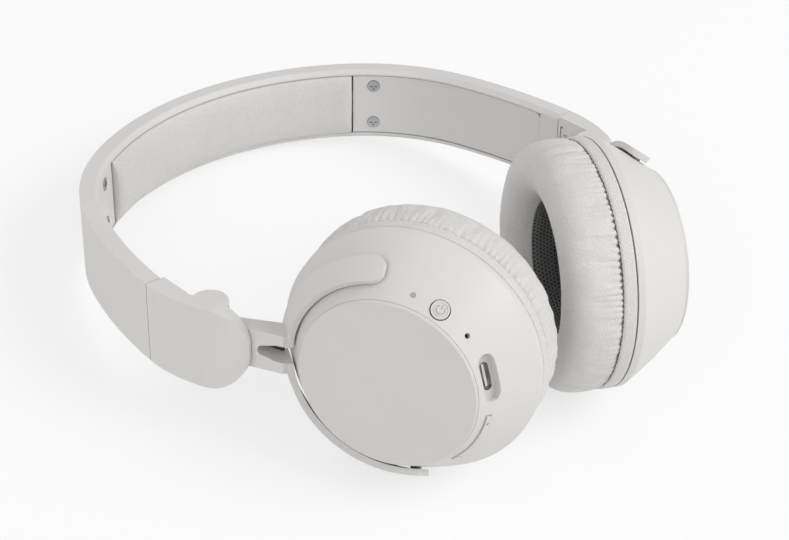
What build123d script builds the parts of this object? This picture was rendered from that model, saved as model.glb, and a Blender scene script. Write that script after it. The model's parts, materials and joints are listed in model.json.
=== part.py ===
"""Over ear headphones, lying on their ear cups and crown.

Everything is drawn in the headband's own plane: X to the wearer's right, Y from the crown to the
open end, Z across the band. The finished pieces are then leaned over, so that crown and cushions
rest on Z = 0.
"""
from build123d import *
from math import asin, atan2, cos, degrees, hypot, pi, radians, sin
import os

os.makedirs("parts", exist_ok=True)

# Headband, in mm
half_span = 82.5
crown_drop = 88.3
band_width = 25.0
edge_face = 4.5
inner_bevel = 1.3
band_skin = 1.6
channel_half = 10.7
pad_end = 55.0
cover_end = 128.5
shoulder = (0.601 * half_span, -0.831 * crown_drop)
temple = (0.910 * half_span, -0.451 * crown_drop)

# Layers inside the band, as depths under its outer surface
layer_gap = 0.3
rail_thickness = 1.0
cover_thickness = 1.1
pad_thickness = 2.6
spring_thickness = 0.6
spring_width = 8.0
spring_half_length = 92.0
rail_width = 14.0
rail_start = 97.0
rail_reach = 6.5
seam_gap = 0.3

# Screws
screw_head = 4.0
screw_shank = 1.9
screw_length = 3.4
screw_lift = 0.2
screw_spacing = 13.4
cover_screw_at = 62.5

# Folding hinge
hinge_x = half_span - 8.3
hinge_y = 18.0
knuckle_radius = 5.2
barrel_radius = 3.2
pin_radius = 1.0
pin_clearance = 0.05
neck_half = 6.0
neck_slot_half = 2.6
running_gap = 0.3
end_tip_radius = 11.0

# Ear cups, along an axis splayed from X
splay = 27.0
cup_x = 35.2
cup_y = 56.5
cup_radius = 36.8
rim_height = 2.0
dome_top = (25.5, 18.5)
dome_bulge = 0.35
cup_wall = 2.0
cap_radius = 25.3
cap_height = 1.0
cap_ring = (19.4, 21.4)
cap_ring_end = 11.4
pivot_height = 12.5
pivot_radius = 1.5

# Cushions
cushion_radius = 37.0
cushion_depth = 19.0
ear_radius = 19.5
plate_thickness = 1.7
ring_thickness = 1.9

# Yoke
yoke_gap = 0.7
yoke_thickness = 1.8
yoke_from = 9.3
yoke_to = 15.5
yoke_overrun = 6.0
yoke_twist = 12.0

# Controls on the right cup: angle from the top, and height on the dome
control_height = 15.7
light_angle = 11.5
button_angle = 28.0
mic_angle = 48.0
usb_angle = 76.0
rocker_angles = (99.0, 140.0)
button_radius = 2.5
button_clearance = 0.3
usb_height = 15.3
board_depth = 4.8
board_thickness = 0.8


def tangent_arcs(points, heading):
    """Centre, radius, first angle and sweep of each arc of a smooth chain through the points."""
    found = []
    for (x0, y0), (x1, y1) in zip(points, points[1:]):
        turn = atan2(y1 - y0, x1 - x0) - heading
        radius = hypot(x1 - x0, y1 - y0) / (2 * sin(turn))
        centre = (x0 - radius * sin(heading), y0 + radius * cos(heading))
        found.append((centre, radius, heading - pi / 2, 2 * turn))
        heading += 2 * turn
    return found


band_arcs = tangent_arcs([(0, -crown_drop), shoulder, temple, (half_span, 0)], 0)
band_length = sum(radius * sweep for _, radius, _, sweep in band_arcs)
slide_centre, slide_radius = band_arcs[-1][0], band_arcs[-1][1]


def on_band(length, depth):
    """Point under the band's outer surface, and the angle of its outward normal."""
    for centre, radius, angle, sweep in band_arcs:
        if length <= radius * sweep or centre == slide_centre:
            angle += length / radius
            reach = radius - depth
            return (centre[0] + reach * cos(angle), centre[1] + reach * sin(angle)), angle
        length -= radius * sweep


def band_strip(outer, inner, start, stop):
    """Face between two depths and two lengths measured from the crown."""
    with BuildSketch() as strip:
        with BuildLine():
            reached = 0.0
            for centre, radius, angle, sweep in band_arcs:
                last = stop if centre == slide_centre else min(stop, reached + radius * sweep)
                first = max(start, reached)
                if last > first:
                    begin = degrees(angle + (first - reached) / radius)
                    for depth in (outer, inner):
                        CenterArc(centre, radius - depth, begin, degrees((last - first) / radius))
                reached += radius * sweep
            for length in (start, stop):
                Line(on_band(length, outer)[0], on_band(length, inner)[0])
        make_face()
    return strip.sketch


def band_plane(length, depth, z=0.0, outward=-1):
    """Plane lying along the band, facing the head (-1) or away from it (1)."""
    (x, y), angle = on_band(length, depth)
    return Plane(origin=(x, y, z), x_dir=(0, 0, 1), z_dir=(outward * cos(angle), outward * sin(angle), 0))


out_dir = Vector(cos(radians(splay)), sin(radians(splay)), 0)
far_dir = Vector(-sin(radians(splay)), cos(radians(splay)), 0)
cup_centre = Vector(cup_x, cup_y, 0)
cup_axis = Axis(cup_centre, out_dir)
cup_profile = Plane(cup_centre, x_dir=(0, 0, 1), z_dir=far_dir)
cup_side = Plane(cup_centre, x_dir=out_dir, z_dir=(0, 0, 1))


def cup_face(height):
    """Plane across the cup at a height above its rim, with local x up and local y to the hinge."""
    return Plane(cup_centre + out_dir * height, x_dir=(0, 0, 1), z_dir=out_dir)


# The dome is one arc from the rim to the cap
dome_chord = hypot(cup_radius - dome_top[0], dome_top[1] - rim_height)
dome_radius = (dome_chord ** 2 / 4 + dome_bulge ** 2) / (2 * dome_bulge)
dome_normal = ((dome_top[1] - rim_height) / dome_chord, (cup_radius - dome_top[0]) / dome_chord)
dome_centre = (
    (cup_radius + dome_top[0]) / 2 - dome_normal[0] * (dome_radius - dome_bulge),
    (rim_height + dome_top[1]) / 2 - dome_normal[1] * (dome_radius - dome_bulge),
)


def dome_angle(height):
    return asin((height - dome_centre[1]) / dome_radius)


def dome_point(height, lift=0.0):
    angle = dome_angle(height)
    reach = dome_radius + lift
    return dome_centre[0] + reach * cos(angle), dome_centre[1] + reach * sin(angle)


def dome_strip(low, high, inner, outer):
    """Profile of a band that follows the dome between two lifts above its surface."""
    first, last = degrees(dome_angle(low)), degrees(dome_angle(high))
    with BuildSketch(cup_profile) as strip:
        with BuildLine():
            CenterArc(dome_centre, dome_radius + inner, first, last - first)
            CenterArc(dome_centre, dome_radius + outer, first, last - first)
            Line(dome_point(low, inner), dome_point(low, outer))
            Line(dome_point(high, inner), dome_point(high, outer))
        make_face()
    return strip.sketch


def turned(sketch, start, stop):
    """Revolve a cup profile between two angles, measured from the top away from the hinge."""
    swept = revolve(sketch, axis=cup_axis, revolution_arc=stop - start, mode=Mode.PRIVATE)
    return swept.rotate(cup_axis, -stop)


def on_dome(angle, height, lift=0.0):
    """Plane on the dome, with local x running round the cup and local z straight out."""
    round_angle = radians(angle)
    radial = Vector(0, 0, 1) * cos(round_angle) + far_dir * sin(round_angle)
    along = far_dir * cos(round_angle) - Vector(0, 0, 1) * sin(round_angle)
    radius, rise = dome_point(height, lift)
    tilt = dome_angle(height)
    return Plane(
        cup_centre + radial * radius + out_dir * rise,
        x_dir=along,
        z_dir=radial * cos(tilt) + out_dir * sin(tilt),
    )


def ring(low, high, inner, outer):
    """Rectangular ring profile round the cup's axis."""
    with BuildSketch(cup_profile) as section:
        with Locations(((inner + outer) / 2, (low + high) / 2)):
            Rectangle(outer - inner, high - low)
    return section.sketch


def add_screws(planes, head, shank, length, head_height=1.1):
    """Cross headed screws whose heads lie on the planes, driven against each plane's normal."""
    with BuildSketch(*planes) as heads:
        Circle(head / 2)
    extrude(heads.sketch, amount=-head_height)
    with BuildSketch(*planes) as shanks:
        Circle(shank / 2)
    extrude(shanks.sketch, amount=-length)
    with BuildSketch(*planes) as crosses:
        Rectangle(0.6 * head, 0.15 * head)
        Rectangle(0.15 * head, 0.6 * head)
    extrude(crosses.sketch, amount=-0.5 * head_height, mode=Mode.SUBTRACT)


band_depth = edge_face + inner_bevel
rail_depth = band_skin + layer_gap
slot_depth = rail_depth + rail_thickness + layer_gap
cover_depth = band_depth - layer_gap - cover_thickness

# Headband
with BuildPart() as headband_shell:
    extrude(band_strip(0, band_depth, 0, band_length), amount=band_width / 2, both=True)
    inner_radii = [radius - band_depth for _, radius, _, _ in band_arcs]
    inner_rims = headband_shell.edges().filter_by(GeomType.CIRCLE).filter_by(
        lambda edge: min(abs(edge.radius - radius) for radius in inner_radii) < 0.01)
    chamfer(inner_rims, inner_bevel)
    channel = band_strip(band_skin, band_depth + 1, 0, cover_end)
    extrude(channel, amount=channel_half, both=True, mode=Mode.SUBTRACT)
    slot = band_strip(band_skin, slot_depth, cover_end - 1, band_length + 1)
    extrude(slot, amount=rail_width / 2 + running_gap, both=True, mode=Mode.SUBTRACT)
    with BuildSketch(*[band_plane(cover_screw_at, band_skin - 0.1, side * screw_spacing / 2)
                       for side in (-1, 1)]):
        Circle(screw_shank / 2 + 1.2)
        Circle(screw_shank / 2, mode=Mode.SUBTRACT)
    extrude(amount=cover_depth - band_skin)
    mirror(about=Plane.YZ)
headband_shell.part.label = "headband_shell"

with BuildPart() as spring_band:
    leaf = band_strip(band_skin + 0.1, band_skin + 0.1 + spring_thickness, 0, spring_half_length)
    extrude(leaf, amount=spring_width / 2, both=True)
    mirror(about=Plane.YZ)
spring_band.part.label = "spring_band"

with BuildPart() as pad_backing:
    plate = band_strip(cover_depth - 1.2, cover_depth - 0.1, 0, pad_end - 0.6)
    extrude(plate, amount=channel_half - running_gap, both=True)
    mirror(about=Plane.YZ)
pad_backing.part.label = "pad_backing"

with BuildPart() as headband_pad:
    pad = band_strip(cover_depth, cover_depth + pad_thickness, 0, pad_end - 0.6)
    extrude(pad, amount=channel_half - 0.2, both=True)
    mirror(about=Plane.YZ)
headband_pad.part.label = "headband_pad"

cover_screw_planes = [band_plane(cover_screw_at, cover_depth + cover_thickness, side * screw_spacing / 2)
                      for side in (-1, 1)]

with BuildPart() as inner_cover:
    cover = band_strip(cover_depth, cover_depth + cover_thickness, pad_end, cover_end - layer_gap)
    extrude(cover, amount=channel_half - running_gap, both=True)
    corners = inner_cover.edges().filter_by(
        lambda edge: abs(edge.length - cover_thickness) < 0.01 and edge.center().Y > -0.2 * crown_drop)
    fillet(corners, 2.0)
    with BuildSketch(*[plane.offset(0.5) for plane in cover_screw_planes]):
        Circle(screw_head / 2 + 0.1)
    extrude(amount=-1.2, mode=Mode.SUBTRACT)
    with BuildSketch(*cover_screw_planes):
        Circle(screw_shank / 2 + 0.1)
    extrude(amount=-2 * cover_thickness, mode=Mode.SUBTRACT)

with BuildPart() as headband_screws:
    lifted = [plane.offset(screw_lift) for plane in cover_screw_planes]
    add_screws(lifted, screw_head, screw_shank - 0.04, screw_length, head_height=0.85)
    mirror(about=Plane.YZ)
headband_screws.part.label = "headband_screws"

# Slider rail, end housing and its cover
end_screw_at = band_length + 3.5
end_screw_side = 5.2
end_screw_plane = band_plane(end_screw_at, cover_depth + cover_thickness, end_screw_side)
end_cover_range = (band_length + 1.2, band_length + 10.6)

with BuildPart() as slider_rail:
    rail = band_strip(rail_depth, rail_depth + rail_thickness, rail_start, band_length + rail_reach)
    extrude(rail, amount=rail_width / 2, both=True)
    fillet(slider_rail.edges().filter_by(lambda edge: abs(edge.length - rail_thickness) < 0.01), 1.5)
    with BuildSketch(end_screw_plane):
        Circle(0.9)
    extrude(amount=-band_depth, mode=Mode.SUBTRACT)

end_points = [on_band(band_length + seam_gap, 0)[0], (half_span - 4.3, 21.4), (half_span - 12.5, 29.3)]
end_arcs = tangent_arcs(end_points, on_band(band_length + seam_gap, 0)[1] + pi / 2)
hinge = (hinge_x, hinge_y)
hinge_vector = Vector(hinge_x, hinge_y, 0) - cup_centre
hinge_height = hinge_vector.dot(out_dir)
hinge_far = hinge_vector.dot(far_dir)
skin_height = hinge_height + 0.1

with BuildPart() as end_housing:
    with BuildSketch():
        with BuildLine():
            for centre, radius, angle, sweep in end_arcs:
                CenterArc(centre, radius, degrees(angle), degrees(sweep))
            start_inner = on_band(band_length + seam_gap, band_depth)[0]
            tip = Vector(*end_points[-1])
            tip_inner = tip - out_dir * ((tip - cup_centre).dot(out_dir) - skin_height)
            Polyline(end_points[-1], (tip_inner.X, tip_inner.Y), hinge, (hinge_x + 2.6, hinge_y - 6.2),
                     (start_inner[0] - 0.15, start_inner[1] + 10), start_inner, end_points[0])
        make_face()
        with Locations(hinge):
            Circle(knuckle_radius)
    extrude(amount=band_width / 2, both=True)
    with BuildSketch(cup_face(hinge_height - 30)):
        plan_length = 60 + end_tip_radius
        with Locations((0, -(tip - cup_centre).dot(far_dir) + plan_length / 2)):
            RectangleRounded(band_width, plan_length, end_tip_radius)
    extrude(amount=60, mode=Mode.INTERSECT)
    with BuildSketch(cup_side):
        with Locations((hinge_height, hinge_far)):
            Circle(barrel_radius + running_gap)
        with Locations((skin_height - 10, hinge_far + 10.2)):
            Rectangle(20, 29.6)
    extrude(amount=neck_half + running_gap, both=True, mode=Mode.SUBTRACT)
    pocket = band_strip(rail_depth - 0.1, slot_depth - 0.2, band_length - 1, band_length + rail_reach + 0.3)
    extrude(pocket, amount=rail_width / 2 + 0.1, both=True, mode=Mode.SUBTRACT)
    recess = band_strip(cover_depth - 0.1, band_depth + 3, *end_cover_range)
    extrude(recess, amount=channel_half - 1.2, both=True, mode=Mode.SUBTRACT)
    with BuildSketch(end_screw_plane):
        Circle(0.95)
    extrude(amount=-(band_depth - band_skin), mode=Mode.SUBTRACT)
    with Locations((hinge_x, hinge_y, 0)):
        Cylinder(pin_radius + 0.02, 2 * (band_width / 2 - 1.5), mode=Mode.SUBTRACT)

with BuildPart() as end_cover:
    plate = band_strip(cover_depth, cover_depth + cover_thickness,
                       end_cover_range[0] + 0.2, end_cover_range[1] - 0.2)
    extrude(plate, amount=channel_half - 1.4, both=True)
    fillet(end_cover.edges().filter_by(lambda edge: abs(edge.length - cover_thickness) < 0.01), 1.5)
    with BuildSketch(end_screw_plane.offset(0.5)):
        Circle(1.6)
    extrude(amount=-1.2, mode=Mode.SUBTRACT)
    with BuildSketch(end_screw_plane):
        Circle(0.95)
    extrude(amount=-2 * cover_thickness, mode=Mode.SUBTRACT)

with BuildPart() as end_cover_screw:
    add_screws([end_screw_plane.offset(screw_lift)], 3.0, 1.7, 3.3, head_height=0.85)

with BuildPart() as hinge_pin:
    with Locations((hinge_x, hinge_y, 0)):
        Cylinder(pin_radius, 2 * (band_width / 2 - 1.7))

# Yoke, turned a little about the cup so that its lower arm reaches further
pivot_dir = Vector(0, 0, 1) * cos(radians(yoke_twist)) - far_dir * sin(radians(yoke_twist))
pivot_plane = Plane(cup_centre + out_dir * pivot_height, x_dir=out_dir, z_dir=pivot_dir)

with BuildPart() as yoke:
    strap = dome_strip(yoke_from, yoke_to, yoke_gap, yoke_gap + yoke_thickness)
    add(turned(strap, 180 - yoke_overrun - yoke_twist, 360 + yoke_overrun - yoke_twist))
    fillet(yoke.edges().filter_by(lambda edge: abs(edge.length - yoke_thickness) < 0.01), 3.2)
    strap_middle = yoke_gap + yoke_thickness / 2
    high_radius, high_rise = dome_point(yoke_to - 0.6, strap_middle)
    low_radius, low_rise = dome_point(yoke_from + 0.6, strap_middle)
    with BuildSketch(cup_side):
        with Locations((hinge_height, hinge_far)):
            Circle(barrel_radius)
        with BuildLine():
            Polyline((hinge_height - 0.2, hinge_far), (hinge_height - 0.2, -high_radius - 1.2),
                     (high_rise, -high_radius), (low_rise, -low_radius),
                     (hinge_height - 4.4, hinge_far + 6), (hinge_height - 2.6, hinge_far - 1.5), close=True)
        make_face()
    extrude(amount=neck_half, both=True)
    with BuildSketch(cup_face(0)):
        with BuildLine():
            slot_round = -hinge_far - 15.2
            slot_side = (neck_slot_half, slot_round - 4)
            Polyline((-1.6, slot_round), (-slot_side[0], slot_side[1]), (-slot_side[0], high_radius - 6),
                     (slot_side[0], high_radius - 6), slot_side, (1.6, slot_round))
            ThreePointArc((1.6, slot_round), (0, slot_round + 1.6), (-1.6, slot_round))
        make_face()
    extrude(amount=30, mode=Mode.SUBTRACT)
    with Locations((hinge_x, hinge_y, 0)):
        Cylinder(pin_radius + pin_clearance, 4 * neck_half, mode=Mode.SUBTRACT)
    pivot_seat = dome_point(pivot_height, yoke_gap + yoke_thickness - 0.7)[0]
    with BuildSketch(pivot_plane):
        Circle(pivot_radius + 0.02)
    extrude(amount=pivot_seat, both=True, mode=Mode.SUBTRACT)

with BuildPart() as neck_liner:
    with BuildSketch(cup_side):
        with BuildLine():
            Polyline((hinge_height - 4.4, hinge_far + 6), (low_rise, -low_radius),
                     (low_rise + 0.9, -low_radius), (hinge_height - 3.5, hinge_far + 6), close=True)
        make_face()
    extrude(amount=neck_slot_half - 0.05, both=True)
    with BuildSketch(cup_face(0)):
        with Locations((0, high_radius - 6)):
            Rectangle(4 * neck_slot_half, slot_round + 1.2 - high_radius + 6, align=(Align.CENTER, Align.MIN))
    extrude(amount=30, mode=Mode.INTERSECT)
    add(yoke.part, mode=Mode.SUBTRACT)

pivot_inner = dome_point(pivot_height)[0] - cup_wall - 0.8
with BuildPart() as yoke_pivots:
    for side in (-1, 1):
        with BuildSketch(pivot_plane.offset(side * (pivot_seat - 0.05))):
            Circle(pivot_radius)
        extrude(amount=-side * (pivot_seat - 0.05 - pivot_inner))

# Ear cup
boss_angles = (195.0, 270.0, 345.0)
boss_reach = 31.2
board_spans = ((7.0, 56.0), (96.0, 146.0))
board_heights = (11.6, 15.9)


def boss_places(height):
    """Planes at the screw bosses, facing the ear."""
    places = []
    for angle in boss_angles:
        spot = Vector(0, 0, 1) * cos(radians(angle)) + far_dir * sin(radians(angle))
        places.append(Plane(cup_centre + out_dir * height + spot * boss_reach, z_dir=-out_dir))
    return places


with BuildPart() as plain_housing:
    with BuildSketch(cup_profile):
        with BuildLine():
            Line((cup_radius, 0), (cup_radius, rim_height))
            ThreePointArc((cup_radius, rim_height), dome_point((rim_height + dome_top[1]) / 2), dome_top)
            inner_low = (cup_radius - cup_wall, 1.8)
            inner_mid = dome_point((rim_height + dome_top[1]) / 2, -cup_wall)
            inner_top = dome_point(dome_top[1], -cup_wall)
            Polyline(dome_top, (cap_ring[1] + 0.2, dome_top[1]), (cap_ring[1] + 0.2, inner_top[1]), inner_top)
            ThreePointArc(inner_top, inner_mid, inner_low)
            Polyline(inner_low, (cup_radius - cup_wall, 0), (cup_radius, 0))
        make_face()
    revolve(axis=cup_axis)
    with BuildSketch(*boss_places(6.4)):
        Circle(2.2)
        Circle(0.95, mode=Mode.SUBTRACT)
    extrude(amount=6.4 - plate_thickness + 0.2 - 0.05)
    with BuildSketch(pivot_plane):
        Circle(pivot_radius + 2 * pin_clearance)
    extrude(amount=cup_radius, both=True, mode=Mode.SUBTRACT)

with BuildPart() as cup_housing_right:
    add(plain_housing.part)
    with BuildSketch(on_dome(usb_angle, usb_height - 0.4, -1.5)):
        RectangleRounded(16, 6.8, 2)
    extrude(amount=-3.1)
    for first, last in board_spans:
        for angle in (first + 9, last - 4):
            support = dome_strip(board_heights[0], board_heights[0] + 1.5, -board_depth + 0.05, -cup_wall + 0.2)
            add(turned(support, angle, angle + 2.5))
    with BuildSketch(on_dome(usb_angle, usb_height)):
        SlotOverall(14, 5)
    extrude(amount=2.4, both=True, mode=Mode.SUBTRACT)
    with BuildSketch(on_dome(usb_angle, usb_height)):
        SlotOverall(9.1, 3.3)
    extrude(amount=6, both=True, mode=Mode.SUBTRACT)
    with BuildSketch(on_dome(button_angle, control_height)):
        Circle(button_radius + button_clearance)
    extrude(amount=3, both=True, mode=Mode.SUBTRACT)
    with BuildSketch(on_dome(light_angle, control_height), on_dome(mic_angle, control_height)):
        Circle(0.75)
    extrude(amount=3, both=True, mode=Mode.SUBTRACT)
    rocker_slot = dome_strip(control_height - 0.8, control_height + 0.8, -3, 1)
    add(turned(rocker_slot, rocker_angles[0], rocker_angles[1]), mode=Mode.SUBTRACT)
cup_housing_right.part.label = "cup_housing_right"

with BuildPart() as cup_housing_left:
    mirror(plain_housing.part, about=Plane.YZ)
cup_housing_left.part.label = "cup_housing_left"

cap_base = dome_top[1] + 0.05
with BuildPart() as cup_cap:
    revolve(ring(cap_base, dome_top[1] + cap_height, 0, cap_radius), axis=cup_axis)
    revolve(ring(cap_ring_end, cap_base + 0.1, *cap_ring), axis=cup_axis)
    chamfer(cup_cap.edges().sort_by(Axis(cup_centre, out_dir))[-1], 0.35)

with BuildPart() as baffle:
    revolve(ring(-0.2, plate_thickness - 0.2, 20.3, cup_radius - cup_wall - 0.3), axis=cup_axis)
    with BuildSketch(*boss_places(0)):
        Circle(0.95)
    extrude(amount=3, both=True, mode=Mode.SUBTRACT)
    with BuildSketch(*boss_places(-0.2)):
        Circle(1.8)
    extrude(amount=-0.8, mode=Mode.SUBTRACT)

with BuildPart() as baffle_screws:
    add_screws(boss_places(-0.2), 3.4, 1.8, 5.6, head_height=0.75)

with BuildPart() as cushion_ring:
    revolve(ring(-0.3 - ring_thickness, -0.3, 21, cup_radius - cup_wall - 0.8), axis=cup_axis)

with BuildPart() as ear_cushion:
    with BuildSketch(cup_profile):
        with BuildLine():
            inner = cup_radius - cup_wall - 0.6
            seat = -0.5 - ring_thickness
            Polyline((inner, -0.3), (cushion_radius, -0.3), (cushion_radius, 4 - cushion_depth),
                     (cushion_radius - 1.4, 1.4 - cushion_depth), (cushion_radius - 4.5, -cushion_depth),
                     (ear_radius + 4, -cushion_depth), (ear_radius + 1.2, 1.2 - cushion_depth),
                     (ear_radius, 4 - cushion_depth), (ear_radius, seat), (inner, seat), close=True)
        make_face()
    revolve(axis=cup_axis)

with BuildPart() as speaker_mesh:
    revolve(ring(-2.2, -1.7, 0, 20.5), axis=cup_axis)

with BuildPart() as driver_frame:
    revolve(ring(-0.8, 2.4, 17.6, 20.1), axis=cup_axis)
    revolve(ring(1.6, 2.4, 8, 18), axis=cup_axis)

with BuildPart() as diaphragm:
    revolve(ring(-0.5, -0.1, 10, 17.5), axis=cup_axis)
    revolve(ring(-1.0, -0.6, 0, 10.4), axis=cup_axis)
    revolve(ring(-1.0, -0.1, 10, 10.4), axis=cup_axis)

with BuildPart() as driver_magnet:
    revolve(ring(2.5, 6.4, 0, 12.5), axis=cup_axis)
    revolve(ring(0.4, 2.5, 0, 7.5), axis=cup_axis)

# Controls and electronics
with BuildPart() as power_button:
    with BuildSketch(on_dome(button_angle, control_height, 0.35)):
        Circle(button_radius)
    extrude(amount=-3.2)
    with BuildSketch(on_dome(button_angle, control_height, -2.35)):
        Rectangle(2 * button_radius + 1.8, 3.6)
    extrude(amount=-0.5)
    with BuildSketch(on_dome(button_angle, control_height, 0.35)):
        Circle(button_radius - 0.5)
        Circle(button_radius - 0.8, mode=Mode.SUBTRACT)
    extrude(amount=-0.15, mode=Mode.SUBTRACT)
power_button.part.label = "power_button"

rocker_gap = 0.7
rocker_pivot = on_dome(sum(rocker_angles) / 2, control_height, -2.8)
with BuildPart() as volume_rocker:
    bar = dome_strip(control_height - 0.55, control_height + 0.55, -2.8, 0.5)
    add(turned(bar, rocker_angles[0] + rocker_gap, rocker_angles[1] - rocker_gap))
    with BuildSketch(Plane(rocker_pivot.origin, z_dir=rocker_pivot.y_dir)):
        Circle(0.8)
    extrude(amount=0.5, both=True)
volume_rocker.part.label = "volume_rocker"

with BuildPart() as usb_socket:
    with BuildSketch(on_dome(usb_angle, usb_height, -2.3)):
        SlotOverall(9.0, 3.2)
        SlotOverall(8.4, 2.6, mode=Mode.SUBTRACT)
    extrude(amount=-3.6)
    with BuildSketch(on_dome(usb_angle, usb_height, -5.9)):
        SlotOverall(9.0, 3.2)
    extrude(amount=-0.6)
    with BuildSketch(on_dome(usb_angle, usb_height, -3.0)):
        Rectangle(6.6, 0.7)
    extrude(amount=-3.2)
usb_socket.part.label = "usb_socket"

with BuildPart() as light_pipe:
    with BuildSketch(on_dome(light_angle, control_height, 0.05)):
        Circle(0.7)
    extrude(amount=-4.7)
light_pipe.part.label = "light_pipe"

with BuildPart() as control_boards:
    for first, last in board_spans:
        board = dome_strip(*board_heights, -board_depth - board_thickness, -board_depth)
        add(turned(board, first, last))
control_boards.part.label = "control_boards"

switch_angles = (button_angle, rocker_angles[0] + 7, rocker_angles[1] - 7)
with BuildPart() as control_switches:
    with BuildSketch(*[on_dome(angle, control_height - 0.6, -board_depth + 0.05) for angle in switch_angles]):
        Rectangle(3, 2)
    extrude(amount=0.9)
    with BuildSketch(*[on_dome(angle, control_height, -3.9) for angle in switch_angles]):
        Circle(0.7)
    extrude(amount=0.4)
control_switches.part.label = "control_switches"

with BuildPart() as circuit_board:
    revolve(ring(cap_ring_end - 1.4, cap_ring_end - 0.2, 0, cap_ring[1] - 0.4), axis=cup_axis)
    with BuildSketch(cup_face(cap_ring_end - 0.2)):
        with GridLocations(13, 11, 2, 2):
            Rectangle(8, 6)
    extrude(amount=1.6)
circuit_board.part.label = "circuit_board"

with BuildPart() as battery:
    with BuildSketch(cup_face(cap_ring_end - 4.4)):
        RectangleRounded(25, 35, 1.5)
    extrude(amount=4.2)
    mirror(about=Plane.YZ, mode=Mode.REPLACE)
battery.part.label = "battery"

# Both sides share these, mirrored across the head's middle plane
paired = {
    "inner_cover": inner_cover, "slider_rail": slider_rail, "end_housing": end_housing,
    "end_cover": end_cover, "end_cover_screw": end_cover_screw, "hinge_pin": hinge_pin,
    "yoke": yoke, "neck_liner": neck_liner, "yoke_pivots": yoke_pivots, "cup_cap": cup_cap, "baffle": baffle,
    "baffle_screws": baffle_screws, "cushion_ring": cushion_ring, "ear_cushion": ear_cushion,
    "speaker_mesh": speaker_mesh, "driver_frame": driver_frame, "diaphragm": diaphragm,
    "driver_magnet": driver_magnet,
}
pieces = [headband_shell, spring_band, pad_backing, headband_pad, headband_screws, cup_housing_right,
          cup_housing_left, power_button, volume_rocker, usb_socket, light_pipe, control_boards,
          control_switches, circuit_board, battery]
for name, right in paired.items():
    with BuildPart() as left:
        mirror(right.part, about=Plane.YZ)
    right.part.label = name + "_right"
    left.part.label = name + "_left"
    pieces += [right, left]

# Lean the headphones until crown and cushions share the resting plane
contact_y = cup_y - (cushion_depth - 4) * sin(radians(splay))
lean = degrees(atan2(cushion_radius - band_width / 2, contact_y + crown_drop))
leaned = Compound(children=[piece.part.rotate(Axis.X, lean) for piece in pieces])
low, high = leaned.bounding_box().min, leaned.bounding_box().max
shift = (-(low.X + high.X) / 2, -(low.Y + high.Y) / 2, -low.Z)
print("lean", round(lean, 4), "shift", [round(value, 4) for value in shift])

for piece in pieces:
    laid = piece.part.rotate(Axis.X, lean).translate(shift)
    laid.label = piece.part.label
    export_step(laid, "parts/" + laid.label + ".step")
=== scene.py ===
import json
import bpy
import numpy as np
from mathutils import Matrix, Vector


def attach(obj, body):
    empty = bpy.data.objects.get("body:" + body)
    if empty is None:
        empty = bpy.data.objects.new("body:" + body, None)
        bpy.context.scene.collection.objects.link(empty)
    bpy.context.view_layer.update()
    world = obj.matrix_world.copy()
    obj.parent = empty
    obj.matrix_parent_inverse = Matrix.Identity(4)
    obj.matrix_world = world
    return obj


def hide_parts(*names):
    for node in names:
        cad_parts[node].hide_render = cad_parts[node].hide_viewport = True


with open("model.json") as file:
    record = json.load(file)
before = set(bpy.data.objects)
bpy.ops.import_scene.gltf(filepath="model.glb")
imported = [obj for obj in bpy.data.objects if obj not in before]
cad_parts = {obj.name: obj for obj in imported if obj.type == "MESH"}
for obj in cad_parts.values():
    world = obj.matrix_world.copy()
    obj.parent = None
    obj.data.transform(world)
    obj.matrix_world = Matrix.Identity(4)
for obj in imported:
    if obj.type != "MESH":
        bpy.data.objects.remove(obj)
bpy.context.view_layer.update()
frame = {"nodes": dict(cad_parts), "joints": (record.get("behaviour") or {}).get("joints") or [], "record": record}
joints = {joint["name"]: joint for joint in frame["joints"]}
mounts = {mount["name"]: mount for mount in frame["record"]["mounts"]}
print("frame loaded")

mm = 0.001

# The headphones' own up direction, square to the plane of the band
bandUp = Vector(joints["fold_right"]["axis"]).normalized()
bandBack = bandUp.cross(Vector((1, 0, 0))).normalized()
capHeight = 19.5 * mm

camera = {
    "seat": (322.4, 370.0, 281.2),        # in the band's plane, mm
    "look": (-0.5702, -0.6385, -0.5170),
    "down": (0.3320, 0.3965, -0.8559),
    "lens": 86.09,
    "sensor": 36.0,
}

plastics = {
    "shellPlastic": {"colour": (0.690, 0.680, 0.667), "roughness": 0.46, "grain": 2600, "bump": 0.10},
    "capPlastic": {"colour": (0.670, 0.661, 0.640), "roughness": 0.52, "grain": 3200, "bump": 0.10},
    "coverPlastic": {"colour": (0.680, 0.670, 0.655), "roughness": 0.42, "grain": 2600, "bump": 0.08},
    "buttonPlastic": {"colour": (0.680, 0.670, 0.655), "roughness": 0.38, "grain": 2600, "bump": 0.05},
    "darkPlastic": {"colour": (0.050, 0.050, 0.053), "roughness": 0.55, "grain": 2000, "bump": 0.10},
    "switchBlack": {"colour": (0.040, 0.040, 0.042), "roughness": 0.45, "grain": 2000, "bump": 0.05},
    "filmGrey": {"colour": (0.250, 0.250, 0.270), "roughness": 0.35, "grain": 1200, "bump": 0.10},
    "stitchDark": {"colour": (0.100, 0.097, 0.094), "roughness": 0.60, "grain": 2600, "bump": 0.05},
    "markGrey": {"colour": (0.330, 0.325, 0.320), "roughness": 0.50, "grain": 2600, "bump": 0.05},
    "pipeWhite": {"colour": (0.420, 0.415, 0.400), "roughness": 0.25, "grain": 2600, "bump": 0.02},
}
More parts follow.
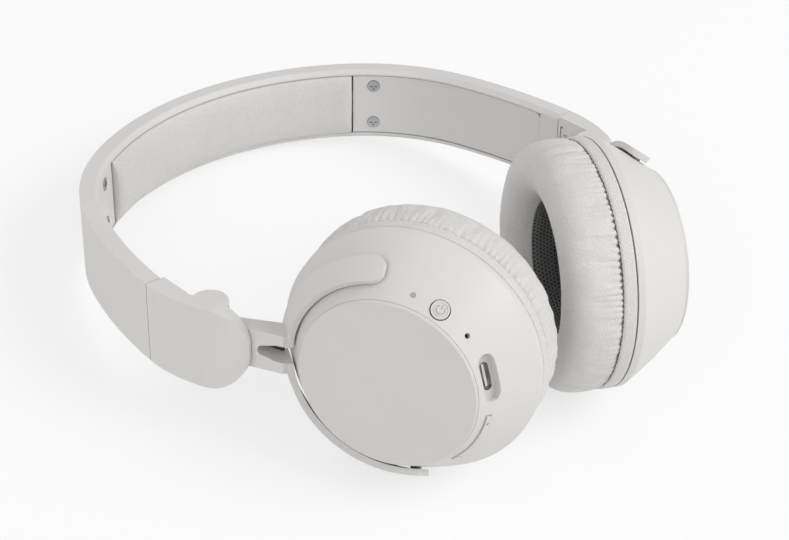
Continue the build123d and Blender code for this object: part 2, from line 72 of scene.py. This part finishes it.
metals = {
    "screwSteel": {"colour": (0.42, 0.42, 0.43), "roughness": 0.32, "brush": 900},
    "springSteel": {"colour": (0.56, 0.56, 0.57), "roughness": 0.28, "brush": 1500},
    "socketMetal": {"colour": (0.74, 0.73, 0.72), "roughness": 0.30, "brush": 1500},
    "magnetSteel": {"colour": (0.45, 0.45, 0.46), "roughness": 0.35, "brush": 800},
    "foil": {"colour": (0.62, 0.62, 0.64), "roughness": 0.30, "brush": 600},
}
leathers = {
    "cushionLeather": {"colour": (0.700, 0.690, 0.675), "grain": 1250, "bump": 0.80, "roughness": 0.44},
    "bandLeather": {"colour": (0.670, 0.660, 0.645), "grain": 1250, "bump": 0.60, "roughness": 0.46},
}


class Wire:
    # One socket of a shader, so that its maths reads as ordinary expressions
    def __init__(self, finish, socket):
        self.finish, self.socket = finish, socket

    def maths(self, operation, first, second=0.0):
        return self.finish.node("ShaderNodeMath", {"operation": operation}, {0: first, 1: second})

    def __add__(self, other):
        return self.maths("ADD", self, other)

    def __sub__(self, other):
        return self.maths("SUBTRACT", self, other)

    def __mul__(self, other):
        return self.maths("MULTIPLY", self, other)

    def above(self, edge):
        return self.maths("GREATER_THAN", self, edge)

    def cosine(self):
        return self.maths("COSINE", self)


class Finish:
    def __init__(self, name):
        self.material = bpy.data.materials.new(name)
        self.material.use_nodes = True
        self.tree = self.material.node_tree
        self.surface = self.tree.nodes["Principled BSDF"]

    # Adds any node: settings first, then the values or links of its sockets
    def node(self, kind, settings=None, sockets=None, output=0):
        made = self.tree.nodes.new(kind)
        for key, value in (settings or {}).items():
            if key == "stops":
                ramp = made.color_ramp
                while len(ramp.elements) < len(value):
                    ramp.elements.new(0.5)
                for element, (place, colour) in zip(ramp.elements, value):
                    element.position, element.color = place, colour
            else:
                setattr(made, key, value)
        for key, value in (sockets or {}).items():
            self.join(value, made.inputs[key])
        return Wire(self, made.outputs[output])

    def join(self, value, socket):
        if isinstance(value, Wire):
            self.tree.links.new(value.socket, socket)
        else:
            socket.default_value = value

    def set(self, **sockets):
        for name, value in sockets.items():
            self.join(value, self.surface.inputs[name.replace("_", " ")])

    def place(self):
        return self.node("ShaderNodeTexCoord", output="Object")

    def noise(self, where, scale, detail=3.0):
        return self.node("ShaderNodeTexNoise", None, {"Vector": where, "Scale": scale, "Detail": detail})

    # Two shades of one colour, mixed by a pattern
    def shades(self, colour, spread, factor):
        dark = tuple(value * (1 - spread) for value in colour) + (1,)
        light = tuple(min(1, value * (1 + spread)) for value in colour) + (1,)
        return self.node("ShaderNodeValToRGB", {"stops": [(0.3, dark), (0.7, light)]}, {"Fac": factor})

    def bump(self, height, strength, distance):
        return self.node("ShaderNodeBump", None,
                         {"Height": height, "Strength": strength, "Distance": distance})


def plastic(name, values):
    # Moulded plastic: fine spark grain, faint flow marks and a little handling wear in the gloss
    finish = Finish(name)
    where = finish.place()
    grain = finish.noise(where, values["grain"], 2.0)
    flow = finish.noise(where, 38.0, 4.0)
    finish.set(
        Base_Color=finish.shades(values["colour"], 0.018, flow),
        Roughness=flow * 0.10 + grain * 0.06 + (values["roughness"] - 0.08),
        Normal=finish.bump(grain, values["bump"], 0.02 * mm),
    )
    return finish.material


def metal(name, values):
    # Plated steel: fine brushed scratches, duller in patches
    finish = Finish(name)
    where = finish.place()
    stretched = finish.node("ShaderNodeMapping", None, {"Vector": where, "Scale": (1, 1, 0.06)})
    brushed = finish.noise(stretched, values["brush"], 3.0)
    patches = finish.noise(where, 160.0, 2.0)
    finish.set(
        Base_Color=finish.shades(values["colour"], 0.08, patches),
        Metallic=1.0,
        Roughness=brushed * 0.14 + patches * 0.08 + (values["roughness"] - 0.10),
        Normal=finish.bump(brushed, 0.2, 0.01 * mm),
    )
    return finish.material


def leather(name, values):
    # Leatherette: pebbles with creases between them, painted shade in the creases and painted highlight on the
    # pebble tops, and softer large mottling
    finish = Finish(name)
    where = finish.place()
    swirl = finish.node("ShaderNodeTexNoise", None, {"Vector": where, "Scale": 900.0}, output="Color")
    shift = finish.node("ShaderNodeVectorMath", {"operation": "SCALE"}, {0: swirl, "Scale": 0.0006})
    bent = finish.node("ShaderNodeVectorMath", {"operation": "ADD"}, {0: where, 1: shift})
    pebbles = finish.node("ShaderNodeTexVoronoi", {"feature": "DISTANCE_TO_EDGE"},
                          {"Vector": bent, "Scale": values["grain"]})
    domes = finish.node("ShaderNodeValToRGB",
                        {"stops": [(0.0, (0, 0, 0, 1)), (0.12, (0.7, 0.7, 0.7, 1)), (0.45, (1, 1, 1, 1))]},
                        {"Fac": pebbles})
    mottle = finish.noise(where, 70.0, 4.0)
    fine = finish.noise(where, 5200.0, 2.0)
    finish.set(
        # Base colour: painted shade in the crease valleys and painted highlight on the pebble tops, mixed with
        # random mottled tone
        Base_Color=finish.shades(values["colour"], 0.05, domes * 0.5 + mottle * 0.4),
        Roughness=mottle * 0.12 + (values["roughness"] + 0.04) - domes * 0.10,
        Normal=finish.bump(domes + fine * 0.2, values["bump"], 0.10 * mm),
    )
    return finish.material


def punchedCloth(name):
    # Acoustic cloth: three crossing waves make round holes on a triangular lattice, in the UV's mm; the holes are
    # not cut but filled with painted shade
    finish = Finish(name)
    across = finish.node("ShaderNodeSeparateXYZ", None, {0: finish.node("ShaderNodeUVMap")})
    x, y = Wire(finish, across.socket.node.outputs[0]), Wire(finish, across.socket.node.outputs[1])
    pitch = 1.25
    turn = 2 * np.pi / (pitch * np.sqrt(3) / 2)
    waves = (y * turn).cosine()
    for side in (-1, 1):
        waves = waves + (x * (side * turn * np.sqrt(3) / 2) + y * (turn / 2)).cosine()
    hole = waves.above(0.9)
    weave = finish.noise(finish.place(), 3800.0, 2.0)
    base = finish.shades((0.165, 0.163, 0.160), 0.20, weave)
    finish.set(
        # Holes painted near-black: painted shade standing in for the dark space seen through them
        Base_Color=finish.node("ShaderNodeMix", {"data_type": "RGBA"},
                               {"Factor": hole, 6: base, 7: (0.012, 0.012, 0.013, 1)}, output=2),
        Roughness=hole * 0.1 + 0.85,
        Normal=finish.bump(weave * 0.4 - hole * 0.8, 0.6, 0.10 * mm),
    )
    return finish.material


def circuitGreen(name):
    # Solder mask over copper tracks, which show as slightly lighter squares
    finish = Finish(name)
    where = finish.place()
    tracks = finish.node("ShaderNodeTexBrick", {"offset": 0.37},
                         {"Vector": where, "Scale": 260.0, "Color1": (0.03, 0.15, 0.07, 1),
                          "Color2": (0.02, 0.11, 0.05, 1), "Mortar": (0.05, 0.22, 0.10, 1)})
    speckle = finish.noise(where, 500.0)
    finish.set(Base_Color=tracks, Roughness=speckle * 0.2 + 0.25, Normal=finish.bump(speckle, 0.1, 0.05 * mm))
    return finish.material


finishes = {name: plastic(name, values) for name, values in plastics.items()}
finishes.update({name: metal(name, values) for name, values in metals.items()})
finishes.update({name: leather(name, values) for name, values in leathers.items()})
finishes["speakerCloth"] = punchedCloth("speakerCloth")
finishes["circuitGreen"] = circuitGreen("circuitGreen")

finishOfSlot = {
    "shell_plastic": "shellPlastic", "cap_plastic": "capPlastic", "cover_plastic": "coverPlastic",
    "button_plastic": "buttonPlastic", "band_leatherette": "bandLeather",
    "cushion_leatherette": "cushionLeather", "screw_steel": "screwSteel", "spring_steel": "springSteel",
    "socket_metal": "socketMetal", "magnet_steel": "magnetSteel", "speaker_mesh": "speakerCloth",
    "dark_plastic": "darkPlastic", "diaphragm_film": "filmGrey", "clear_plastic": "pipeWhite",
    "board_green": "circuitGreen", "switch_black": "switchBlack", "battery_foil": "foil",
}
for part in frame["record"]["subparts"]:
    node = frame["nodes"][part["node"]]
    finish = finishes[finishOfSlot[part["material_slot"]]]
    node.data.materials.clear()
    node.data.materials.append(finish)
print("materials made")


def nodePoints(name):
    node = frame["nodes"][name]
    flat = np.zeros(len(node.data.vertices) * 3, np.float32)
    node.data.vertices.foreach_get("co", flat)
    return flat.reshape(-1, 3).astype(float)


def gridMesh(name, points, finish, body, closeU=True, closeV=True, uv=None):
    # Quads between neighbouring points of a grid, joined end to end where a direction is closed
    rows, columns = points.shape[:2]
    u = np.arange(rows if closeU else rows - 1)[:, None]
    v = np.arange(columns if closeV else columns - 1)[None, :]
    nextU, nextV = (u + 1) % rows, (v + 1) % columns
    quads = np.stack([u * columns + v, nextU * columns + v,
                      nextU * columns + nextV, u * columns + nextV], -1).reshape(-1, 4)
    corners = points.reshape(-1, 3)[quads]
    centre = points.reshape(-1, 3).mean(0)
    a, b, c, d = (corners[:, i] - centre for i in range(4))
    volume = (np.einsum("ij,ij->i", a, np.cross(b, c)) + np.einsum("ij,ij->i", a, np.cross(c, d))).sum()
    if volume < 0:
        quads = quads[:, ::-1]
    mesh = bpy.data.meshes.new(name)
    mesh.vertices.add(rows * columns)
    mesh.vertices.foreach_set("co", points.astype(np.float32).ravel())
    mesh.loops.add(quads.size)
    mesh.loops.foreach_set("vertex_index", quads.astype(np.int32).ravel())
    mesh.polygons.add(len(quads))
    mesh.polygons.foreach_set("loop_start", np.arange(0, quads.size, 4, dtype=np.int32))
    mesh.update(calc_edges=True)
    if uv is not None:
        layer = mesh.uv_layers.new(name="UVMap")
        layer.data.foreach_set("uv", uv.reshape(-1, 2)[quads.ravel()].astype(np.float32).ravel())
    mesh.polygons.foreach_set("use_smooth", np.ones(len(quads), bool))
    mesh.validate()
    mesh.materials.append(finishes[finish])
    piece = bpy.data.objects.new(name, mesh)
    bpy.context.scene.collection.objects.link(piece)
    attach(piece, body)
    return piece


def smoothLoop(points, count):
    # Closed Catmull-Rom curve through the points, resampled to even steps of its length
    knots = np.array(points, float)
    before, after, beyond = np.roll(knots, 1, 0), np.roll(knots, -1, 0), np.roll(knots, -2, 0)
    t = np.linspace(0, 1, 40, endpoint=False)[None, :, None]
    fine = 0.5 * (2 * knots[:, None] + (after - before)[:, None] * t
                  + (2 * before - 5 * knots + 4 * after - beyond)[:, None] * t ** 2
                  + (3 * knots - before - 3 * after + beyond)[:, None] * t ** 3)
    fine = fine.reshape(-1, 2)
    steps = np.linalg.norm(np.roll(fine, -1, 0) - fine, axis=1)
    length = np.concatenate([[0], np.cumsum(steps)])
    wanted = np.linspace(0, length[-1], count, endpoint=False)
    closed = np.vstack([fine, fine[:1]])
    return np.stack([np.interp(wanted, length, closed[:, i]) for i in range(2)], -1)


def softNoise(seed, u, v, lowest, highest, across, count=26):
    # Sum of waves with random directions, whole numbers of turns round u so that it closes
    random = np.random.default_rng(seed)
    total = np.zeros(np.broadcast(u, v).shape)
    for _ in range(count):
        turns = random.integers(lowest, highest)
        total += np.sin(turns * u + random.uniform(-across, across) * v + random.uniform(0, 2 * np.pi))
    return total / np.sqrt(count)


class Cup:
    # Axes of one ear cup: outward, up, and away from the hinge; heights are above the rim
    def __init__(self, side):
        mount = mounts["cap_" + side]
        self.side = side
        self.out = np.array(Vector(mount["axis"]).normalized())
        self.up = np.array(bandUp)
        self.far = np.cross(self.up, self.out) * (1 if side == "right" else -1)
        self.centre = np.array(mount["pos_m"]) - self.out * capHeight

    def at(self, angle, radius, height):
        angle, radius, height = np.broadcast_arrays(angle, radius, height)
        ray = np.cos(angle)[..., None] * self.up + np.sin(angle)[..., None] * self.far
        return self.centre + ray * radius[..., None] * mm + height[..., None] * mm * self.out


cushion = {
    "profile": [(35.9, -4.3), (36.5, -4.9), (36.85, -7.0), (36.85, -10.5), (36.3, -14.0), (34.4, -17.2),
                (31.2, -19.0), (27.4, -19.2), (23.9, -17.8), (21.2, -15.0), (19.8, -11.4), (19.6, -7.5),
                (20.0, -4.0), (22.0, -2.6), (28.0, -2.6), (34.0, -2.7)],
    "seam": -4.3,
    "gatherFrom": 31.5,
    "pleats": 116,
    "pleatDepth": 0.75,
    "pleatReach": 6.0,
    "creaseDepth": 0.30,
    "aroundCount": 900,
    "profileCount": 104,
}
collar = {
    "profile": [(36.15, -0.35), (36.75, -0.55), (36.9, -1.2), (36.9, -3.2), (36.7, -3.95), (36.0, -4.15),
                (35.2, -3.6), (35.2, -0.9)],
    "aroundCount": 360,
    "profileCount": 40,
}
stitch = {"count": 150, "length": 1.05, "width": 0.16, "radius": 36.05, "height": -4.22}
cloth = {"rim": 19.9, "rimHeight": -4.2, "middleHeight": -2.6, "aroundCount": 128, "rings": 40}

lining = {"heights": (-12.5, -3.4), "radii": (19.5, 19.75), "aroundCount": 180}


def earCushion(cup, seed):
    # A ring of a closed profile, gathered into pleats that fade away from the seam
    profile = smoothLoop(cushion["profile"], cushion["profileCount"])
    radius, height = profile[None, :, 0], profile[None, :, 1]
    angle = np.linspace(0, 2 * np.pi, cushion["aroundCount"], endpoint=False)[:, None]
    along = np.roll(profile, -1, 0) - np.roll(profile, 1, 0)
    along /= np.linalg.norm(along, axis=1)[:, None]
    outward = np.stack([-along[:, 1], along[:, 0]], -1)
    if (outward * (profile - profile.mean(0))).sum() < 0:
        outward = -outward
    fromSeam = np.clip(cushion["seam"] - height, 0, 40)
    outside = 1 / (1 + np.exp(-(radius - cushion["gatherFrom"]) / 1.2))
    uneven = 0.6 + 0.4 * softNoise(seed, angle, 0 * height, 2, 9, 0)
    varied = 0.75 + 0.35 * softNoise(seed + 1, angle, 0 * height, 9, 40, 0)
    reach = cushion["pleatReach"] * np.clip(varied, 0.3, 1.6)
    warp = 0.9 * softNoise(seed + 2, angle, height, 3, 17, 0.10) + 0.10 * fromSeam * softNoise(
        seed + 3, angle, 0 * height, 5, 21, 0)
    wave = np.cos(cushion["pleats"] * angle + warp * 2.2)
    pleats = -(0.5 - 0.5 * wave) ** 2.2 * np.exp(-(fromSeam / reach) ** 1.6) * np.clip(uneven, 0.15, 1.4)
    creases = softNoise(seed + 4, angle, height, 8, 44, 0.55) * np.exp(-(((fromSeam - 5) / 7.0) ** 2))
    slack = 0.25 * softNoise(seed + 5, angle, height, 2, 9, 0.3)
    gathers = cushion["pleatDepth"] * pleats + cushion["creaseDepth"] * np.minimum(creases, 0.3)
    lift = outside * gathers - abs(slack) * 0.25
    radius = radius + lift * outward[None, :, 0]
    height = height + lift * outward[None, :, 1]
    piece = gridMesh("earCushion_" + cup.side, cup.at(angle, radius, height), "cushionLeather",
                     "cup_" + cup.side)
    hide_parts("ear_cushion_" + cup.side)
    return piece


def cushionCollar(cup, seed):
    # The plain strip of leatherette between the housing and the seam
    profile = smoothLoop(collar["profile"], collar["profileCount"])
    angle = np.linspace(0, 2 * np.pi, collar["aroundCount"], endpoint=False)[:, None]
    ripple = 0.03 * softNoise(seed, angle, profile[None, :, 1], 6, 40, 0.5)
    points = cup.at(angle, profile[None, :, 0] + ripple, profile[None, :, 1] + 0 * angle)
    return gridMesh("cushionCollar_" + cup.side, points, "cushionLeather",
                    "cup_" + cup.side)


def seamStitches(cup):
    # Short thread bars lying in the seam, each a tapered six sided rod
    count = stitch["count"]
    middle = np.linspace(0, 2 * np.pi, count, endpoint=False)[:, None, None]
    along = np.linspace(-0.5, 0.5, 7)[None, :, None]
    round6 = np.linspace(0, 2 * np.pi, 6, endpoint=False)[None, None, :]
    girth = stitch["width"] * np.sqrt(np.clip(1 - (2 * along) ** 2 * 0.9, 0.05, 1))
    uneven = np.random.default_rng(5).uniform(0.35, 1.1, count)[:, None, None]
    angle = middle + along * uneven * stitch["length"] / stitch["radius"] + 0 * round6
    radius = stitch["radius"] + girth * np.cos(round6) + 0.10 * (1 - (2 * along) ** 2)
    height = stitch["height"] + girth * np.sin(round6) + 0 * middle
    points = cup.at(angle, radius + 0 * middle, height)
    vertices = points.reshape(-1, 3)
    start = (np.arange(count) * 42)[:, None, None]
    row, column = np.arange(6)[None, :, None], np.arange(6)[None, None, :]
    nextColumn = (column + 1) % 6
    quads = np.stack([start + row * 6 + column, start + row * 6 + nextColumn,
                      start + (row + 1) * 6 + nextColumn, start + (row + 1) * 6 + column], -1).reshape(-1, 4)
    ends = np.concatenate([np.arange(count)[:, None] * 42 + np.arange(5, -1, -1)[None],
                           np.arange(count)[:, None] * 42 + 36 + np.arange(6)[None]])
    if cup.side == "left":
        quads, ends = quads[:, ::-1], ends[:, ::-1]
    mesh = bpy.data.meshes.new("seamStitches_" + cup.side)
    mesh.from_pydata(vertices.tolist(), [], quads.tolist() + ends.tolist())
    mesh.materials.append(finishes["stitchDark"])
    piece = bpy.data.objects.new("seamStitches_" + cup.side, mesh)
    bpy.context.scene.collection.objects.link(piece)
    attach(piece, "cup_" + cup.side)
    return piece


def speakerCloth(cup):
    # A shallow dish over the driver; its UV is the flat distance from the middle in mm
    angle = np.linspace(0, 2 * np.pi, cloth["aroundCount"], endpoint=False)[:, None]
    share = np.linspace(1, 0.004, cloth["rings"])[None, :]
    front = cloth["middleHeight"] + (cloth["rimHeight"] - cloth["middleHeight"]) * share ** 3
    share = np.concatenate([share, share[:, ::-1]], 1)
    height = np.concatenate([front, front[:, ::-1] + 0.35], 1)
    radius = cloth["rim"] * share + 0 * angle
    uv = np.stack([radius * np.cos(angle), radius * np.sin(angle)], -1)
    piece = gridMesh("speakerCloth_" + cup.side, cup.at(angle, radius, height), "speakerCloth",
                     "cup_" + cup.side, uv=uv)
    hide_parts("speaker_mesh_" + cup.side)
    return piece


def holeLining(cup):
    # Cloth sleeve down the inside of the cushion; its UV is the unrolled wall in mm
    angle = np.linspace(0, 2 * np.pi, lining["aroundCount"], endpoint=False)[:, None]
    low, high = lining["heights"]
    inner, outer = lining["radii"]
    radius = np.array([inner, inner, inner, inner, outer, outer])[None, :]
    height = np.array([low, low * 0.7 + high * 0.3, low * 0.3 + high * 0.7, high, high, low])[None, :]
    uv = np.stack(np.broadcast_arrays(angle * inner, height), -1)
    return gridMesh("holeLining_" + cup.side, cup.at(angle, radius, height), "speakerCloth",
                    "cup_" + cup.side, uv=uv)


cups = {side: Cup(side) for side in ("right", "left")}
for seed, cup in enumerate(cups.values()):
    earCushion(cup, 10 + 20 * seed)
    cushionCollar(cup, 30 + seed)
    seamStitches(cup)
    speakerCloth(cup)
    holeLining(cup)
print("cushions sewn")

pad = {"crown": 1.7, "squareness": 0.35, "flatness": 0.55, "endTaper": 0.035, "lengthCount": 420,
       "profileCount": 90}


def headbandPad():
    # The CAD pad's two faces give its curve; the section is a flat base under a low crowned top
    points = nodePoints("headband_pad")
    up, back = np.array(bandUp), np.array(bandBack)
    x, y, z = points[:, 0], points @ back, points @ up
    halfWidth, middle = (z.max() - z.min()) / 2, (z.max() + z.min()) / 2
    # Circle through the pad's base at the crown and at its ends
    crownIn = y[np.abs(x) < 2 * mm].max()
    crownOut = y[np.abs(x) < 2 * mm].min()
    ends = points[np.abs(x) > np.abs(x).max() - 0.05 * mm]
    endX, endY = np.abs(x).max(), (ends @ back).mean()
    outerRadius = (endX ** 2 + (endY - crownOut) ** 2) / (2 * (endY - crownOut))
    thickness = crownIn - crownOut
    reach = np.arcsin(endX / outerRadius)
    angle = np.linspace(-reach, reach, pad["lengthCount"])[:, None]
    section = np.linspace(0, 2 * np.pi, pad["profileCount"], endpoint=False)[None, :]
    # Superellipse section: broad across, shallow deep, its base kept flat
    across = np.sign(np.cos(section)) * np.abs(np.cos(section)) ** pad["squareness"] * halfWidth
    rise = np.sign(np.sin(section)) * np.abs(np.sin(section)) ** pad["flatness"]
    toEnd = np.clip((reach - np.abs(angle)) / pad["endTaper"], 0, 1)
    plump = np.sqrt(1 - (1 - toEnd) ** 2)
    crown = pad["crown"] * mm * np.clip(1 - (across / halfWidth) ** 2, 0, 1) * plump
    top = thickness * (0.62 + 0.38 * plump) + crown
    depth = np.where(rise > 0, top * 0.5 * (1 + rise), 0.5 * thickness * (1 + rise))
    depth = depth + 0.05 * mm * softNoise(71, 6 * angle, across / mm, 2, 20, 0.6) * (rise > 0)
    radius = outerRadius - depth
    squeeze = 1 - 0.012 * (1 - plump)
    place = (radius * np.sin(angle))[..., None] * np.array((1.0, 0, 0))
    place = place + (crownOut + outerRadius - radius * np.cos(angle))[..., None] * back
    place = place + ((middle + across * squeeze) + 0 * radius)[..., None] * up
    cap = place[[0, -1]].mean(1, keepdims=True) + 0 * place[[0, -1]]
    place = np.concatenate([cap[:1], place, cap[1:]], 0)
    piece = gridMesh("bandPad", place, "bandLeather", "headband", closeU=False)
    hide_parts("headband_pad")
    return piece


headbandPad()
print("band pad made")

marks = {"ring": 1.15, "bar": 1.25, "width": 0.20, "height": 0.05, "sign": 1.0}


def strokes(name, paths, finish, body, origin, across, along, out):
    # Raised strokes: each path is a flat ribbon with square sides, drawn in two directions of a face
    vertices, faces = [], []
    for path in paths:
        path = np.array(path, float)
        heading = np.gradient(path, axis=0)
        heading /= np.linalg.norm(heading, axis=1)[:, None]
        side = np.stack([-heading[:, 1], heading[:, 0]], -1) * marks["width"] / 2
        base = len(vertices)
        for edge, lift in ((side, -0.02), (side, marks["height"]), (-side, marks["height"]), (-side, -0.02)):
            spot = path + edge
            vertices += list(origin + spot[:, :1] * mm * across + spot[:, 1:] * mm * along + lift * mm * out)
        count = len(path)
        row = np.arange(count - 1)
        for k in range(4):
            low, high = base + k * count, base + (k + 1) % 4 * count
            faces += np.stack([low + row, low + row + 1, high + row + 1, high + row], -1).tolist()
        faces += [[base + k * count for k in (3, 2, 1, 0)], [base + k * count + count - 1 for k in range(4)]]
    mesh = bpy.data.meshes.new(name)
    mesh.from_pydata([tuple(v) for v in vertices], [], faces)
    mesh.materials.append(finishes[finish])
    piece = bpy.data.objects.new(name, mesh)
    bpy.context.scene.collection.objects.link(piece)
    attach(piece, body)
    return piece


def controlMarks():
    # Power sign: an open ring with a bar in its gap, on the button's outer face
    out = -np.array(joints["press_power"]["axis"])
    cup = cups["right"]
    points = nodePoints("power_button")
    top = (points @ out).max()
    face = points[points @ out > top - 0.02 * mm]
    middle = (face.max(0) + face.min(0)) / 2
    inward = cup.centre + cup.out * np.dot(middle - cup.centre, cup.out) - middle
    along = -inward + out * np.dot(inward, out)
    along /= np.linalg.norm(along)
    across = np.cross(along, out)
    turn = np.radians(np.linspace(90 + 38, 450 - 38, 40))
    ring = np.stack([marks["ring"] * np.cos(turn), marks["ring"] * np.sin(turn)], -1)
    bar = np.stack([np.zeros(6), np.linspace(0.15, marks["bar"] + 0.25, 6)], -1)
    strokes("powerSign", [ring, bar], "markGrey", "power_button",
            middle, across, along, out)
    # Plus and minus near the rocker's two ends
    pivot = np.array(joints["press_volume"]["pos_m"])
    line = np.array(joints["press_volume"]["axis"])
    points = nodePoints("volume_rocker")
    half = marks["sign"] / 2
    level = np.stack([np.linspace(-half, half, 6), np.zeros(6)], -1)
    upright = level[:, ::-1]
    start = pivot - cup.centre
    for name, turn, paths in (("plusSign", -15.0, [level, upright]), ("minusSign", 15.0, [level])):
        spin = np.array(Matrix.Rotation(np.radians(turn), 3, Vector(-cup.out)))
        spot = cup.centre + spin @ start
        meridian = spin @ line
        ray = spot - cup.centre
        ray -= cup.out * np.dot(ray, cup.out)
        normal = ray / np.linalg.norm(ray)
        normal = normal - meridian * np.dot(normal, meridian)
        normal /= np.linalg.norm(normal)
        near = points[np.linalg.norm(points - spot, axis=1) < 6 * mm]
        height = ((near - spot) @ normal).max() if len(near) else 1.4 * mm
        strokes(name, paths, "markGrey", "volume_rocker", spot + normal * height,
                np.cross(meridian, normal), meridian, normal)


controlMarks()
print("signs drawn")


def studioFloor():
    # White sheet: the camera sees mostly plain white, with a share of real shading for the shadow
    mesh = bpy.data.meshes.new("studioFloor")
    size = 3.0
    corners = [(-size, -size, 0), (size, -size, 0), (size, size, 0), (-size, size, 0)]
    mesh.from_pydata(corners, [], [(0, 1, 2, 3)])
    finish = Finish("floorWhite")
    tree = finish.tree
    finish.set(Base_Color=(0.90, 0.90, 0.90, 1), Roughness=0.9)
    path = tree.nodes.new("ShaderNodeLightPath")
    fromCamera = Wire(finish, path.outputs["Is Camera Ray"])
    seen = fromCamera.maths("MAXIMUM", fromCamera, Wire(finish, path.outputs["Is Glossy Ray"]))
    white = tree.nodes.new("ShaderNodeEmission")
    white.inputs["Color"].default_value = (1, 1, 1, 1)
    mix = tree.nodes.new("ShaderNodeMixShader")
    finish.join(seen * 0.70, mix.inputs["Fac"])
    tree.links.new(finish.surface.outputs[0], mix.inputs[1])
    tree.links.new(white.outputs[0], mix.inputs[2])
    tree.links.new(mix.outputs[0], tree.nodes["Material Output"].inputs["Surface"])
    mesh.materials.append(finish.material)
    floor = bpy.data.objects.new("studioFloor", mesh)
    bpy.context.scene.collection.objects.link(floor)


lights = {
    "keyLamp": {"from": (-0.55, 0.75, 0.95), "size": 0.9, "power": 9.5},
    "fillLamp": {"from": (1.05, 0.15, 0.75), "size": 1.0, "power": 3.6},
    "backLamp": {"from": (0.10, -1.00, 0.80), "size": 0.9, "power": 1.0},
}
worldLevel = 0.50


def studioLights():
    for name, values in lights.items():
        lamp = bpy.data.lights.new(name, "AREA")
        lamp.shape, lamp.size, lamp.energy = "DISK", values["size"], values["power"]
        holder = bpy.data.objects.new(name, lamp)
        holder.location = values["from"]
        holder.rotation_euler = (-Vector(values["from"])).to_track_quat("-Z", "Y").to_euler()
        bpy.context.scene.collection.objects.link(holder)
    world = bpy.data.worlds.new("studioWorld")
    world.use_nodes = True
    tree = world.node_tree
    background = tree.nodes["Background"]
    background.inputs["Color"].default_value = (1, 1, 1, 1)
    path = tree.nodes.new("ShaderNodeLightPath")
    level = tree.nodes.new("ShaderNodeMix")
    level.inputs[2].default_value, level.inputs[3].default_value = worldLevel, 1.0
    tree.links.new(path.outputs["Is Camera Ray"], level.inputs[0])
    tree.links.new(level.outputs[0], background.inputs["Strength"])
    bpy.context.scene.world = world


def studioCamera():
    # The seat and directions are given in the band's plane and turned with it
    turnBand = Matrix((Vector((1, 0, 0)), bandBack, bandUp)).transposed()
    hinge = Vector(joints["fold_right"]["pos_m"])
    origin = hinge - turnBand @ Vector((74.2 * mm, 18.0 * mm, 0))
    look = turnBand @ Vector(camera["look"])
    down = turnBand @ Vector(camera["down"])
    right = look.cross(-down).normalized()
    up = right.cross(look).normalized()
    seat = origin + turnBand @ (Vector(camera["seat"]) * mm)
    lens = bpy.data.cameras.new("studioCamera")
    lens.lens, lens.sensor_width = camera["lens"], camera["sensor"]
    lens.clip_start, lens.clip_end = 0.01, 20
    holder = bpy.data.objects.new("studioCamera", lens)
    turn = Matrix((right, up, -look.normalized())).transposed().to_4x4()
    holder.matrix_world = Matrix.Translation(seat) @ turn
    bpy.context.scene.collection.objects.link(holder)
    bpy.context.scene.camera = holder


studioFloor()
studioLights()
studioCamera()
bpy.context.scene.view_settings.view_transform = "Standard"
print("studio set")
